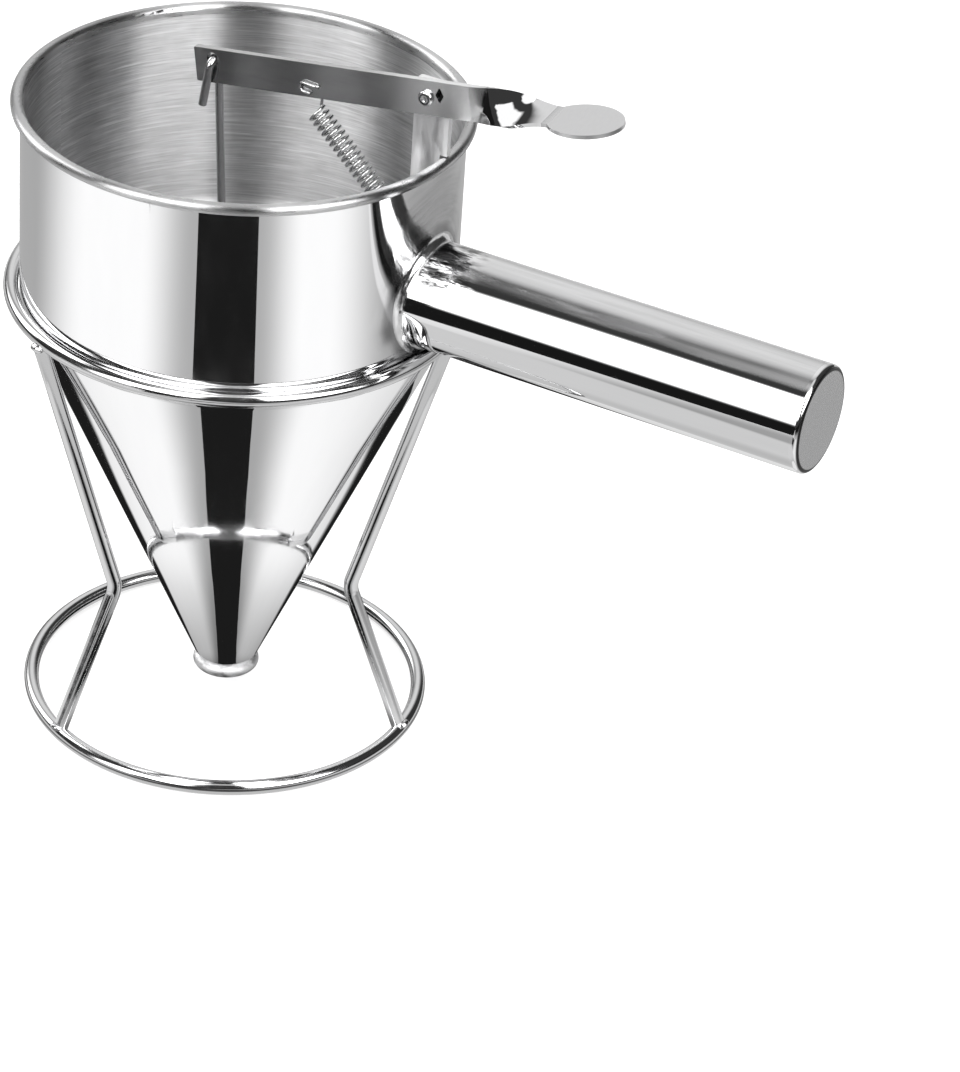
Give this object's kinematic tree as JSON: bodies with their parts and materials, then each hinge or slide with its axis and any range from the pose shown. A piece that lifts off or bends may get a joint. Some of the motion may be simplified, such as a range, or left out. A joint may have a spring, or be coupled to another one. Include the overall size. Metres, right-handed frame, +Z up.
{
  "type": "confectionery funnel",
  "caption": "Hand-held steel dosing funnel with a tubular handle, a thumb lever that lifts a stopper off the outlet, a return spring and a wire stand.",
  "frame": {"origin": "centre of the stand's base ring, on the surface it stands on", "axes": "+Z up along the funnel's axis, +X out along the handle"},
  "size_m": [0.2598, 0.1396, 0.232],
  "materials": {
    "bowl_sheet": "polished outside, brushed round inside",
    "handle_steel": "polished",
    "stand_wire": "bright drawn wire",
    "lever_steel": "polished strip",
    "valve_steel": "bright wire and turned steel",
    "spring_wire": "bright spring wire"
  },
  "bodies": {
    "stand": {"stand_top_ring": "stand_wire", "stand_base_ring": "stand_wire", "stand_leg_1": "stand_wire", "stand_leg_2": "stand_wire", "stand_leg_3": "stand_wire"},
    "funnel": {"bowl_wall": "bowl_sheet", "hopper_cone": "bowl_sheet", "nozzle_collar": "bowl_sheet", "handle_tube": "handle_steel", "handle_end_cap": "handle_steel", "handle_weld": "handle_steel", "lever_bracket": "lever_steel", "pivot_rivet": "lever_steel", "pivot_washer": "lever_steel", "return_spring": "spring_wire"},
    "lever": {"lever": "lever_steel"},
    "valve": {"valve_rod": "valve_steel", "valve_plug": "valve_steel"}
  },
  "joints": [
    {"name": "funnel_lift", "type": "slide", "parent": "stand", "child": "funnel", "axis": [0, 0, 1], "range_m": [0, 0.14]},
    {"name": "lever_pivot", "type": "hinge", "parent": "funnel", "child": "lever", "pos_m": [0.06, 0, 0.2226], "axis": [0, 1, 0], "range_deg": [0, 14], "stiffness_Nm_per_rad": 1.64, "springref_deg": -7.85, "deforming": ["return_spring"]},
    {"name": "rod_hook", "type": "hinge", "parent": "lever", "child": "valve", "pos_m": [-0.0108, 0, 0.21437], "axis": [0, 1, 0], "range_deg": [-14, 0]}
  ],
  "couplings": [
    {"joint": "rod_hook", "follows": "lever_pivot", "ratio": -1}
  ]
}
